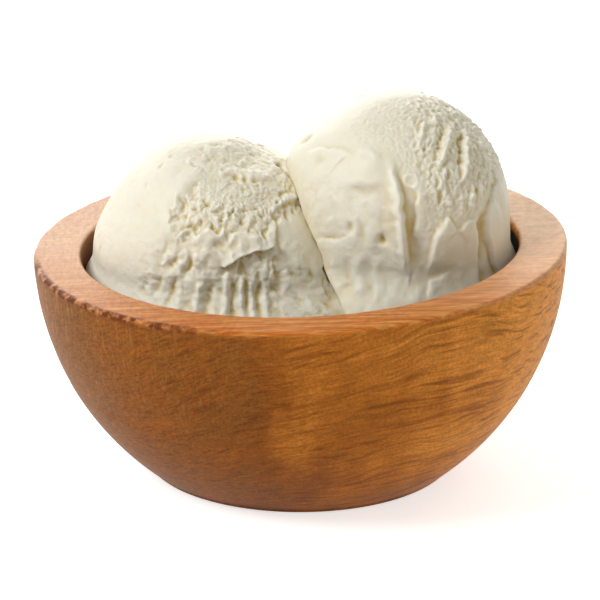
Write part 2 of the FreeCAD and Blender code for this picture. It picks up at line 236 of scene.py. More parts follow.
class Relief:
    """The plain surface of a scoop, and the height that its marks give it.

    A path is a list of (azimuth, elevation) pairs. Its left and right are those of someone who
    walks along it on the surface, so a path up the front has its left towards -X.
    """

    def __init__(self, scoop, directions, seed):
        self.scoop = scoop
        self.centre = scoop["centre"]
        self.directions = directions
        self.length = reach(self.centre, directions, in_ball(scoop))
        self.base = self.centre + directions * self.length[:, None]
        self.azimuth, self.elevation = bearings(directions)
        out = directions * np.array([1.0, 1.0, 0.0])
        below = smooth(-self.elevation / 12.0)[:, None]
        out = out / np.maximum(np.linalg.norm(out, axis=1), 1e-6)[:, None]
        out = directions * (1 - below) + out * below
        self.out = out / np.linalg.norm(out, axis=1)[:, None]
        self.height = np.zeros(len(directions))
        self.slide = np.zeros(len(directions))
        self.rough = np.zeros(len(directions))
        ripple = [0.42 * noise(self.base, 2.8, seed + k) for k in range(3)]
        crinkle = [0.08 * noise(self.base, 1.2, seed + 3 + k) for k in range(3)]
        self.worn = self.base + np.stack(ripple, 1) + np.stack(crinkle, 1)

    def spots(self, path):
        """The points of the plain surface at (azimuth, elevation) pairs."""
        aims = compass(*np.array(path, float).T)
        lengths = reach(self.centre, aims, in_ball(self.scoop))
        return self.centre + aims * lengths[:, None]

    def curve(self, path, closed=False):
        """A smooth line through a path's points."""
        spots = self.spots(path)
        if closed:
            padded = np.vstack([spots[-1:], spots, spots[:2]])
        else:
            padded = np.vstack([2 * spots[0] - spots[1], spots, 2 * spots[-1] - spots[-2]])
        line = []
        for a, b, c, d in zip(padded, padded[1:], padded[2:], padded[3:]):
            for t in (0.0, 0.25, 0.5, 0.75):
                bend = (2 * a - 5 * b + 4 * c - d) * t + (3 * b - a - 3 * c + d) * t * t
                line.append(b + 0.5 * t * (c - a + bend))
        line.append(spots[0] if closed else spots[-1])
        return np.array(line)

    def near(self, line, margin):
        """For the points within margin of a line: which they are, the distance to it, how far along
        it that is from 0 to 1, and the side, -1 for left and 1 for right."""
        middle = (line.max(0) + line.min(0)) / 2
        extent = np.linalg.norm(line - middle, axis=1).max() + margin
        chosen = np.nonzero(np.linalg.norm(self.worn - middle, axis=1) < extent)[0]
        points, out = self.worn[chosen], self.out[chosen]
        best = np.full(len(chosen), 1e9)
        along = np.zeros(len(chosen))
        side = np.zeros(len(chosen))
        sizes = np.linalg.norm(np.diff(line, axis=0), axis=1)
        done = 0.0
        for start, end, size in zip(line, line[1:], sizes):
            step = (end - start) / size
            offset = points - start
            part = np.clip(offset @ step, 0, size)
            away = np.linalg.norm(offset - part[:, None] * step, axis=1)
            closer = away < best
            best = np.where(closer, away, best)
            along = np.where(closer, (done + part) / sizes.sum(), along)
            facing = np.einsum("ij,ij->i", np.cross(step, out), offset)
            side = np.where(closer, np.sign(facing), side)
            done += size
        return chosen, best, along, side

    def ridge(self, path, width, height, taper=0.2, left=None, right=None):
        """A rounded ridge, or a valley where height is negative. left and right are the widths of
        its sides, where they differ from width."""
        broad = max(width, left or 0, right or 0)
        chosen, away, along, side = self.near(self.curve(path), 3 * broad)
        width = np.where(side > 0, right or width, left or width)
        ends = smooth(along / taper) * smooth((1 - along) / taper)
        self.height[chosen] += height * ends * np.exp(-((away / width) ** 2))

    def ridges(self, marks, taper):
        for path, width, height in marks:
            self.ridge(path, width, height, taper)

    def crack(self, path, width, depth, taper=0.25):
        """A sharp-bottomed groove."""
        chosen, away, along, _ = self.near(self.curve(path), 6 * width)
        ends = smooth(along / taper) * smooth((1 - along) / taper)
        self.height[chosen] -= depth * ends * np.exp(-away / width)

    def cliff(self, path, rise, drop, edge=0.8, back=3.0, foot=2.0, taper=0.2, over=0.0):
        """A step. The left of the path stands up by rise and falls away over back, and the right
        lies deeper by drop and comes up again over foot. over pushes the upper edge down."""
        chosen, away, along, side = self.near(self.curve(path), 2.6 * max(back, foot))
        signed = -away * side
        ends = smooth(along / taper) * smooth((1 - along) / taper)
        high = rise * np.exp(-((np.clip(signed, 0, None) / back) ** 2))
        low = -drop * np.exp(-((np.clip(-signed, 0, None) / foot) ** 2))
        part = smooth(signed, -edge / 2, edge / 2)
        self.height[chosen] += ends * (low + (high - low) * part)
        self.slide[chosen] += over * ends * part * np.exp(-((np.clip(signed, 0, None) / back) ** 2))

    def inside(self, outline, edge):
        """0 outside an outline and 1 inside it, changing over a distance edge."""
        line = self.curve(outline, closed=True)
        chosen, away, _, _ = self.near(line, edge)
        ring_azimuth, ring_elevation = bearings(line - self.centre)
        middle = np.array(outline, float)[:, 0].mean()
        azimuth, elevation = bearings(self.worn[chosen] - self.centre)
        x, y = turn_between(azimuth, middle), elevation
        ring = np.stack([turn_between(ring_azimuth, middle), ring_elevation], 1)
        within = np.zeros(len(x), bool)
        for (x0, y0), (x1, y1) in zip(ring, ring[1:]):
            if y0 != y1:
                crossing = (y0 > y) != (y1 > y)
                within ^= crossing & (x < x0 + (y - y0) / (y1 - y0) * (x1 - x0))
        full = np.zeros(len(self.base))
        full[chosen] = smooth(np.where(within, away, -away), -edge / 2, edge / 2)
        return full

    def patch(self, outline, edge, seed):
        """Like inside, with a border that comes and goes."""
        broken = 1.1 * fractal(self.base, 3.6, 2, seed)
        return smooth(2.0 * self.inside(outline, edge) - 0.6 + broken)

    def mound(self, at, wide, tall, height):
        """A broad swelling or hollow, sizes in degrees."""
        across = turn_between(self.azimuth, at[0]) * np.cos(np.radians(self.elevation)) / wide
        up = (self.elevation - at[1]) / tall
        self.height += height * np.exp(-(across**2 + up**2))

    def dot(self, at, radius, height, tall=1.0):
        """A small bump or pit, sizes in mm, stretched up and down by tall."""
        offset = (self.worn - self.spots([at])[0]) / np.array([1.0, 1.0, tall])
        self.height += height * np.exp(-((np.linalg.norm(offset, axis=1) / radius) ** 2))

    def finish(self):
        """The final points: the relief added, kept clear of the bowl and of the other scoop."""
        down = np.zeros_like(self.out)
        down[:, 2] = -1
        down -= self.out * np.einsum("ij,ij->i", down, self.out)[:, None]
        points = self.base + self.out * self.height[:, None] + down * self.slide[:, None]
        rays = points - self.centre
        length = np.linalg.norm(rays, axis=1)
        rays /= length[:, None]
        length = soft_min(length, reach(self.centre, rays, in_hollow), 1.2)
        normal = TO_RIGHT * self.scoop["side"]
        towards = rays @ normal
        room = (self.centre - SEAM) @ normal - SEAM_GAP
        facing = towards < -1e-6
        limit = np.where(facing, -room / np.where(facing, towards, -1), 1e6)
        for _ in range(3):
            at = self.centre + rays * np.minimum(limit, 60)[:, None]
            wave = 1.0 * noise(at, 9.0, 71) + 0.35 * noise(at, 3.0, 72)
            swing = np.maximum(room + self.scoop["side"] * -wave, 1.0)
            limit = np.where(facing, -swing / np.where(facing, towards, -1), 1e6)
        length = soft_min(length, limit, 0.4)
        return self.centre + rays * length[:, None]


def spread(values, edges, count, rounds):
    """Averages a value over neighbouring points."""
    degree = np.bincount(edges.ravel(), minlength=count)
    for _ in range(rounds):
        total = np.bincount(edges[:, 0], values[edges[:, 1]], count)
        total += np.bincount(edges[:, 1], values[edges[:, 0]], count)
        values = 0.5 * values + 0.5 * total / degree
    return values


def make_mesh(name, points, faces):
    """A smooth-shaded mesh object from points in millimetres."""
    mesh = bpy.data.meshes.new(name)
    faces = np.asarray(faces)
    sides = faces.shape[1]
    mesh.vertices.add(len(points))
    mesh.vertices.foreach_set("co", np.ascontiguousarray(points * MM, dtype=np.float32).ravel())
    mesh.loops.add(faces.size)
    mesh.loops.foreach_set("vertex_index", faces.ravel().astype(np.int32))
    mesh.polygons.add(len(faces))
    mesh.polygons.foreach_set("loop_start", np.arange(0, faces.size, sides, dtype=np.int32))
    mesh.polygons.foreach_set("loop_total", np.full(len(faces), sides, dtype=np.int32))
    mesh.polygons.foreach_set("use_smooth", np.ones(len(faces), bool))
    mesh.update(calc_edges=True)
    mesh.validate()
    thing = bpy.data.objects.new(name, mesh)
    bpy.context.scene.collection.objects.link(thing)
    return thing


def mesh_edges(mesh):
    edges = np.empty(len(mesh.edges) * 2, np.int32)
    mesh.edges.foreach_get("vertices", edges)
    return edges.reshape(-1, 2)


def set_attribute(mesh, name, values):
    layer = mesh.attributes.new(name, "FLOAT", "POINT")
    layer.data.foreach_set("value", np.asarray(values, np.float32))


# ---------------------------------------------------------------- left scoop


def left_lobes(skin):
    skin.mound((-75, 30), 26, 16, -1.3)
    skin.mound((-90, 60), 30, 14, -1.1)
    skin.mound((-40, 60), 24, 12, 0.9)
    skin.mound((90, 66), 40, 12, -1.8)
    skin.mound((92, 42), 22, 10, 1.4)
    skin.mound((150, 40), 40, 20, 0.9)
    skin.mound((-140, 30), 35, 25, -0.8)
    skin.mound((60, -3), 25, 30, 5.0)
    skin.mound((-155, 66), 44, 22, 1.5)
    skin.mound((66, -17), 18, 16, 3.0)
    skin.mound((50, -14), 15, 16, 1.5)


def left_tear(skin):
    """The torn front: where it is deeper than the smooth shell, and its ledges."""
    tear = [(-30, -14), (-27, 2), (-24, 12), (-20, 20), (-19, 30), (-20, 38), (-19, 44), (-15, 52)]
    tear += [(-5, 58), (4, 59.5), (20, 59), (34, 54), (48, 51), (60, 44), (56, 38), (42, 33)]
    tear += [(34, 22), (33, 8), (31, -14)]
    fade = smooth(skin.elevation, 0, 24)
    skin.height -= 0.6 * fade * skin.inside(tear, 6.0)
    left_edge = [(-21, 18), (-19, 26), (-20, 36), (-19, 44), (-15, 52), (-6, 58), (6, 60)]
    skin.cliff(left_edge, 0.35, 0.1, 2.4, 3.6, 2.6, 0.3)
    skin.ridge([(-19, 40), (-16, 50), (-9, 56), (4, 60)], 1.2, 0.4, 0.3, left=3.0, right=1.3)
    top_edge = [(4, 60), (12, 58), (20, 60), (28, 57), (36, 54), (46, 52), (58, 46)]
    skin.cliff(top_edge, 0.45, 0.35, 1.6, 2.4, 2.6, 0.25)
    skin.dot((26, 57), 0.9, -0.8, 1.3)
    skin.dot((33, 55), 0.8, -1.0, 1.3)
    skin.dot((40, 53), 0.7, -0.7, 1.3)
    skin.dot((16, 62), 0.6, -0.5, 1.3)


def left_middle(skin):
    """The smooth tongue under the torn middle, the lip beside it, and the pits on its left."""
    scallops = [(13, 27), (9, 29.5), (6, 26.5), (3, 29), (-2, 29.5), (-6, 26), (-9, 30)]
    scallops += [(-13, 29), (-17, 24)]
    skin.cliff(scallops, 0.8, 0.6, 1.1, 2.0, 1.6, 0.15)
    skin.dot((-9, 26.5), 1.1, -1.2, 1.2)
    skin.dot((1, 24), 1.3, 0.5)
    skin.dot((5, 22), 1.2, -0.6, 1.3)
    skin.dot((-1, 18), 2.0, 0.5, 1.4)
    # the lip that hangs over
    lip_top = [(33, 24), (26, 25.5), (20, 27.5), (14, 27.5), (10, 23), (8, 18)]
    skin.cliff(lip_top, 0.7, 0.3, 1.4, 1.7, 1.6, 0.3)
    skin.ridge([(12, 20), (18, 23), (25, 23.5), (31, 23)], 1.3, 0.7, 0.4)
    lip_edge = [(6, 11), (12, 14.5), (18, 17), (23, 19), (29, 18.5), (35, 20)]
    skin.cliff(lip_edge, 1.3, 1.7, 0.7, 2.1, 3.0, 0.12, 1.0)
    skin.dot((17, 9), 1.6, -0.9, 1.2)
    skin.dot((33.5, 15), 0.9, 1.1, 1.2)
    # pits
    skin.ridge([(-8, 20), (-9, 12), (-11, 4)], 1.1, -1.5, 0.5, left=0.8)
    skin.ridge([(-5, 18), (-6, 12)], 0.9, 0.4)
    skin.ridge([(-14, 17), (-21, 7)], 0.8, -1.0, 0.5)
    skin.ridge([(-21.5, 8), (-27, -6)], 0.8, -0.8, 0.5)
    skin.ridge([(-29, 5), (-33, -5)], 0.7, -0.4, 0.5)
    skin.ridge([(-14, 9), (-17, 0), (-21, -10)], 1.0, -1.0, 0.5, right=0.7)
    skin.ridge([(-18, 4), (-22, -10)], 0.8, 0.4, 0.35)
    skin.ridge([(-13.5, 15), (-13, 5)], 1.0, 0.6)
    skin.ridge([(-20, 26), (-22, 18), (-26, 9)], 0.9, -0.35, 0.4)
    skin.dot((40, 4), 0.5, -0.5)
    skin.dot((48, 3), 0.6, -0.7, 1.4)


def left_foot(skin):
    """Drag marks that run down to the rim."""
    marks = (
        ([(-11, 5), (-14, -6), (-16, -22)], 1.5, 0.5),
        ([(-2, 8), (-5, -6), (-8, -22)], 0.9, 0.9),
        ([(4, 7), (0, -5), (-3, -22)], 1.2, -0.8),
        ([(9, 9), (8, -4), (5, -22)], 0.9, 1.0),
        ([(12, 8), (11, -5), (9, -22)], 0.65, -0.7),
        ([(16, 9), (15, -5), (13, -22)], 0.75, 0.8),
        ([(19, 9), (18, -5), (16, -22)], 0.6, -0.6),
        ([(22, 9), (20, -4), (18, -22)], 0.6, 0.6),
        ([(25, 8), (23, -5), (21, -22)], 0.75, -0.8),
        ([(29, 4), (26, -6), (24, -22)], 0.8, 0.8),
        ([(38, 0), (43, -8), (45, -22)], 1.0, 0.5),
        ([(50, -4), (52, -20)], 1.4, -0.4),
    )
    skin.ridges(marks, 0.2)
    skin.cliff([(31, -2), (32, 6), (33, 14), (36, 23), (40, 30)], 0.5, 0.5, 0.9, 1.8, 3.5)


def left_pressed(skin):
    """Where it is squeezed against the other scoop."""
    ledge = [(33, 28), (40, 34), (50, 36), (60, 36), (72, 37), (86, 35)]
    skin.cliff(ledge, 0.8, 0.6, 1.3, 2.0, 3.8, 0.3)
    skin.ridge([(63, 34), (67, 23)], 0.9, -1.5)
    skin.ridge([(88, 54), (80, 50), (73, 43)], 1.1, -2.6, 0.15)
    skin.ridge([(55, 6), (57, 3), (57, -2)], 0.75, -3.6, 0.25)


def left_texture(skin):
    """The grain of the torn areas, each with its own outline, and a faint unevenness all over."""
    worn = skin.worn + 0.5 * np.stack([noise(skin.base, 2.0, 5 + k) for k in range(3)], 1)
    granular = [(-8, 56), (20, 57), (36, 52), (50, 49), (60, 42), (52, 38), (38, 31), (28, 31)]
    granular = skin.patch(granular + [(10, 34), (-10, 36), (-15, 46)], 6.0, 38)
    crumbly = [(-30, 70), (0, 84), (110, 72), (100, 52), (70, 44), (50, 50), (30, 57), (4, 60)]
    crumbly = skin.patch(crumbly + [(-22, 60)], 7.0, 39)
    streaky = [(-19, 44), (-21, 30), (-18, 16), (-10, 24), (12, 27), (31, 24), (37, 34), (26, 40)]
    streaky = skin.patch(streaky + [(0, 44)], 4.0, 40)
    ragged = skin.patch([(8, 12), (20, 16), (33, 17), (34, -2), (24, -4), (9, 0)], 4.0, 41)
    pressed = [(34, 30), (44, 40), (60, 43), (84, 42), (88, 33), (60, 30), (44, 28)]
    pressed = skin.patch(pressed, 4.0, 42)
    dragged = [(-30, 14), (-16, 22), (10, 24), (38, 20), (52, -2), (50, -22), (-36, -22)]
    dragged = skin.inside(dragged, 8.0)
    tiny = grains(worn, 0.7, 31)
    small = grains(worn, 1.1, 32)
    soft = fractal(worn, 2.4, 3, 33)
    skin.height += granular * (0.40 * (0.5 - small) + 0.34 * (0.5 - tiny) + 0.30 * soft)
    skin.height += crumbly * (0.20 * (0.5 - small) + 0.14 * (0.5 - tiny) + 0.42 * soft)
    areas = [granular, 0.8 * crumbly, streaky, ragged, pressed, 0.5 * dragged]
    skin.rough = np.maximum.reduce(areas)
    leaning = worn @ np.array([[1.0, 0, 0], [0, 1.0, 0], [-0.15, 0, 0.42]])
    pits = smooth(noise(leaning, 1.8, 34), -0.05, 0.5)
    knobs = noise(leaning, 1.2, 35)
    lip = skin.inside([(8, 20), (16, 24), (26, 24), (34, 23), (34, 17), (22, 17), (10, 12)], 3.0)
    skin.height += lip * (0.30 * noise(worn, 2.2, 61) + 0.14 * noise(worn, 1.1, 62))
    torn = np.maximum.reduce([streaky, 0.8 * ragged, 0.9 * pressed])
    skin.height += torn * (0.45 * knobs + 0.25 * (0.5 - tiny) - 0.70 * pits + 0.15)
    drawn = worn * np.array([1.0, 1.0, 0.30])
    streaks = 0.32 * noise(drawn, 1.9, 43) + 0.20 * noise(worn, 1.3, 44) + 0.26 * soft
    skin.height += dragged * streaks
    skin.height += 0.25 * noise(skin.base, 9.0, 36) + 0.12 * fractal(worn, 4.0, 3, 37)


# ---------------------------------------------------------------- right scoop


def right_lobes(skin):
    skin.mound((-88, 28), 28, 15, 1.7)
    skin.mound((85, 46), 32, 18, -1.3)
    skin.mound((88, 22), 32, 16, -1.0)
    skin.mound((140, 25), 38, 25, 1.2)
    skin.mound((-150, 20), 30, 25, 0.9)
    skin.mound((170, 72), 26, 18, 0.3)
    skin.mound((-105, 50), 16, 12, -0.7)
    skin.mound((-5, -11), 60, 13, 0.6)


def right_shoulder(skin):
    """The smooth left half: dents, an overhanging swelling, a crack and soft folds."""
    # dents of the left shoulder, and the rounded fold below them
    skin.dot((-81, 38), 1.2, -1.0, 1.7)
    fold = [(-31, 36), (-35, 41), (-48, 41), (-60, 38), (-70, 32)]
    skin.cliff(fold, 0.5, 0.1, 1.6, 4.5, 2.2, 0.3)
    skin.cliff([(-22, 4), (-27, 14), (-29, 24), (-31, 34)], 0.25, 0.15, 3.0, 4.0, 5.0, 0.5)
    skin.dot((-55, 33), 1.9, -0.7)
    # the swelling that hangs over
    skin.dot((-19, 36), 3.6, 0.8, 0.9)
    swelling = [(-36, 24), (-27, 24.5), (-18, 25), (-10, 26.5), (-2, 30)]
    skin.cliff(swelling, 0.5, 0.55, 3.0, 2.8, 5.0, 0.45)
    skin.ridge([(-31, 42), (-23, 44), (-14, 40), (-11, 40)], 1.0, 0.3)
    # crack, pits and soft folds
    skin.crack([(-46, -5), (-38, -4), (-31, -2), (-25, 2)], 0.4, 0.35, 0.45)
    skin.cliff([(-24, 1), (-31, -3), (-39, -5), (-48, -6)], 0.15, 0.1, 1.2, 2.4, 2.6, 0.5)
    skin.dot((-25.5, 4), 1.1, -0.9, 1.1)
    skin.ridge([(-8.5, 3), (-9.5, -5)], 0.8, -1.1, 0.5)
    skin.ridge([(-30, 16), (-25, 8), (-22, 0), (-20, -9)], 1.3, 0.4, 0.4, left=1.2, right=2.6)
    skin.ridge([(-22, 10), (-19, 2), (-18, -9)], 1.1, -0.45, 0.5)
    skin.ridge([(-15, 12), (-12, -8)], 1.4, 0.4, 0.5)


def right_fold(skin):
    """The standing fold, steep on its right, and the channel beside it."""
    face = [(5, -24), (4, -12), (3, -2), (2, 8), (1, 18), (-1, 28), (-4, 36), (-7, 43)]
    skin.cliff(face, 1.5, 0.9, 1.8, 2.4, 3.4, 0.35)
    spine = [(-7, 44), (-5, 34), (-3, 22), (-1, 10), (1, -3), (3, -14), (4, -24)]
    skin.ridge(spine, 1.1, 1.1, 0.4, left=1.8, right=0.9)
    skin.ridge([(-12, 22), (-9, 10), (-7, -4), (-6, -15)], 1.8, -0.4, 0.4)
    skin.cliff([(4, 28), (9, 22), (8, 14), (8, 7), (6, -2)], 0.5, 0.2, 0.9, 2.4, 1.4)
    skin.ridge([(5, 14), (6, -4), (7, -17)], 1.7, -0.7, 0.3)
    # a small round mark
    radius, width, height = 1.5, 0.45, 0.28
    ring = np.abs(np.linalg.norm(skin.worn - skin.spots([(7, 29)])[0], axis=1) - radius)
    skin.height += height * np.exp(-((ring / width) ** 2))


def right_petals(skin):
    """The two smooth plates at the lower right, and the dark valley between them."""
    skin.cliff([(27, 10), (21, 5), (16.5, -1), (14, -9), (13, -19)], 1.15, 0.0, 1.3, 5.5, 2.4, 0.3)
    skin.cliff([(42, 6), (36, 5), (30, 1)], 0.5, 0.2, 0.9, 3.0, 1.6)
    skin.cliff([(30, 1), (28, 5), (25, 10)], 0.4, 0.2, 0.6, 2.0, 1.4)
    skin.cliff([(41, -28), (43, -18), (43.5, -7), (42, 5)], 0.6, 1.1, 1.4, 3.5, 2.4, 0.15)
    skin.cliff([(60, 15), (52, 9), (49, 2), (50, -8), (55, -26)], 1.1, 0.35, 1.2, 6.0, 2.0, 0.15)
    skin.cliff([(72, 20), (64, 17), (57, 14)], 0.5, 0.3, 0.7, 3.0, 2.0)
    skin.ridge([(47, 12), (46, -3), (46, -14), (45, -27)], 1.3, -0.9)
    skin.cliff([(27, -18), (20, -19.5), (15, -21), (12, -26)], 0.5, 0.1, 0.9, 2.6, 1.6, 0.3)


def right_streaks(skin):
    """The long beaded folds of the torn right side, and the plain ones at the foot."""
    beads = 1 + 0.45 * noise(skin.base, 1.6, 48)
    before = skin.height.copy()
    long_folds = (
        ([(74, 52), (60, 46), (50, 41), (44, 34), (38, 27), (33, 21)], 0.8, 1.2),
        ([(66, 50), (52, 46), (43, 39), (37, 31)], 0.9, -1.0),
        ([(60, 58), (44, 51), (33, 43), (26, 36), (20, 28)], 0.7, 0.9),
        ([(52, 60), (38, 53), (30, 46), (25, 40)], 0.7, -0.6),
        ([(60, 66), (44, 63), (34, 57), (27, 49)], 0.6, 0.8),
        ([(66, 38), (56, 31), (50, 22), (47, 13)], 0.75, 1.0),
        ([(62, 36), (54, 29), (48, 19)], 0.7, -0.9),
        ([(74, 34), (64, 27), (58, 18)], 0.8, 0.8),
        ([(22, 26), (26, 19), (26, 10)], 0.6, 0.6),
        ([(15, 30), (19, 22), (19, 13)], 0.5, 0.5),
        ([(44, 25), (40, 17), (39, 9)], 0.7, 0.8),
        ([(48, 23), (44, 14), (43, 9)], 0.6, -0.6),
        ([(36, 21), (33, 13), (31, 7)], 0.6, 0.6),
        ([(36, 66), (26, 60), (18, 52), (12, 44)], 0.6, 0.7),
        ([(84, 44), (72, 38), (63, 30), (56, 22)], 0.7, 0.8),
        ([(30, 36), (25, 29), (21, 21)], 0.6, 0.6),
    )
    skin.ridges(long_folds, 0.3)
    skin.height = before + (skin.height - before) * beads
    foot_folds = (
        ([(-36, -12), (-30, -26)], 1.4, 0.5),
        ([(-22, -8), (-18, -26)], 1.5, 0.6),
        ([(-27, -10), (-24, -26)], 1.2, -0.5),
        ([(-12, -8), (-9, -26)], 1.3, 0.5),
        ([(-16, -8), (-13, -26)], 1.1, -0.5),
        ([(8, -14), (7, -28)], 1.4, 0.4),
    )
    skin.ridges(foot_folds, 0.3)


def right_texture(skin):
    """Wrinkles and pores of the torn right side and top, and a faint unevenness all over."""
    worn = skin.worn + 0.4 * np.stack([noise(skin.base, 2.0, 45 + k) for k in range(3)], 1)
    wrinkled = [(12, 70), (70, 78), (120, 60), (116, 20), (76, 20), (60, 17), (46, 10), (36, 8)]
    wrinkled = skin.inside(wrinkled + [(26, 13), (16, 20), (13, 34)], 7.0)
    porous = [(-50, 60), (-10, 86), (60, 82), (118, 50), (100, 16), (60, 16), (30, 6), (11, 2)]
    porous = skin.inside(porous + [(10, 24), (0, 36), (-8, 46), (-36, 47)], 6.0)
    leaning = worn @ np.array([[1.0, 0, 0], [0, 1.0, 0], [-0.42, 0, 0.22]])
    crest = 1 - np.abs(noise(leaning, 1.9, 51)) * 2
    finer = noise(leaning * np.array([1.0, 1.0, 1.8]), 1.1, 52) + 0.5
    tiny = grains(worn, 0.75, 53)
    small = grains(worn * np.array([1.0, 1.0, 0.7]), 1.2, 54)
    skin.height += wrinkled * (0.40 * (crest - 0.5) + 0.34 * (finer - 0.5) + 0.22 * (0.5 - small))
    skin.height += porous * (0.26 * (0.5 - tiny) + 0.16 * (0.5 - small))
    skin.rough = np.maximum(wrinkled, 0.7 * porous)
    lower = smooth(-skin.elevation, -34, -18)
    lower *= smooth(-np.abs(turn_between(skin.azimuth, -12)), -62, -36)
    drawn = worn * np.array([1.0, 1.0, 0.35])
    streaks = 0.16 * noise(drawn, 2.4, 58) + 0.05 * noise(worn, 1.5, 59)
    skin.height += lower * (streaks + 0.12 * fractal(worn, 3.0, 3, 60))
    skin.height += 0.25 * noise(skin.base, 9.0, 56) + 0.07 * fractal(worn, 4.0, 3, 57)


def rear_texture(skin, seed):
    """The unseen side: torn and smooth areas, ledges, pits and drag marks of the same kinds."""
    rear = smooth(np.abs(turn_between(skin.azimuth, 0)), 95, 125)
    rear *= smooth(-np.abs(skin.elevation - 20), -62, -48)
    worn = skin.worn + 0.6 * np.stack([noise(skin.base, 3.0, seed + k) for k in range(3)], 1)
    rough = smooth(fractal(skin.base, 15.0, 3, seed + 3), -0.12, 0.22)
    small = grains(worn, 1.2, seed + 5)
    leaning = worn @ np.array([[1.0, 0, 0], [0, 1.0, 0], [0.25, 0, 0.40]])
    crest = 1 - np.abs(noise(leaning, 1.9, seed + 6)) * 2
    pits = smooth(noise(leaning, 2.0, seed + 7), 0.0, 0.5)
    torn = 0.35 * (0.5 - small) + 0.40 * (crest - 0.5) - 0.5 * pits
    skin.height += rear * (rough * torn + 0.14 * fractal(worn, 4.0, 3, seed + 8))
    skin.rough = np.maximum(skin.rough, rear * rough)
    rng = np.random.default_rng(seed)
    for azimuth, elevation in ((140, 38), (176, 12), (214, 30), (238, 4)):
        turns = azimuth + np.array([18, 9, 0, -9, -18]) + rng.uniform(-2, 2, 5)
        rises = elevation + rng.uniform(-5, 5, 5)
        skin.cliff(list(zip(turns, rises)), 0.7, 0.6, 1.1, 3.0, 3.4, 0.3, 0.3)
    for azimuth in (128, 133, 137, 143, 168, 173, 179, 184, 190, 222, 227, 233):
        top = rng.uniform(-4, 10)
        path = [(azimuth, top), (azimuth + rng.uniform(-3, 3), top - rng.uniform(12, 20))]
        skin.ridge(path, rng.uniform(0.8, 1.2), rng.choice([-0.8, 0.7]), 0.4)


def make_scoop(name, scoop, seed, marks):
    """A scoop's mesh with its relief, and how hollow and how rough each point is."""
    directions, quads = sphere_grid(CUBE_CELLS, DENSE_SIDE)
    skin = Relief(scoop, directions, seed)
    for mark in marks:
        mark(skin)
    rear_texture(skin, seed + 200)
    points = skin.finish()
    thing = make_mesh(name, points, quads)
    edges = mesh_edges(thing.data)
    count = len(points)
    # how much lower each point lies than its neighbours; the material turns this into painted shade
    # in hollows and painted highlight on crests
    near = spread(skin.height, edges, count, 8) - skin.height
    wide = spread(skin.height, edges, count, 60) - skin.height
    hollow = spread(0.9 * near + 0.45 * wide, edges, count, 1)
    # painted shade along the seam between the two scoops
    seam = np.abs((points - SEAM) @ TO_RIGHT)
    set_attribute(thing.data, "hollow", np.clip(hollow + 0.14 * np.exp(-seam / 2.5), -1, 1.5))
    set_attribute(thing.data, "rough", np.clip(skin.rough, 0, 1))
    return thing


LEFT_MARKS = (left_lobes, left_tear, left_middle, left_foot, left_pressed, left_texture)
RIGHT_MARKS = (right_lobes, right_shoulder, right_fold, right_petals, right_streaks, right_texture)

# ---------------------------------------------------------------- bowl


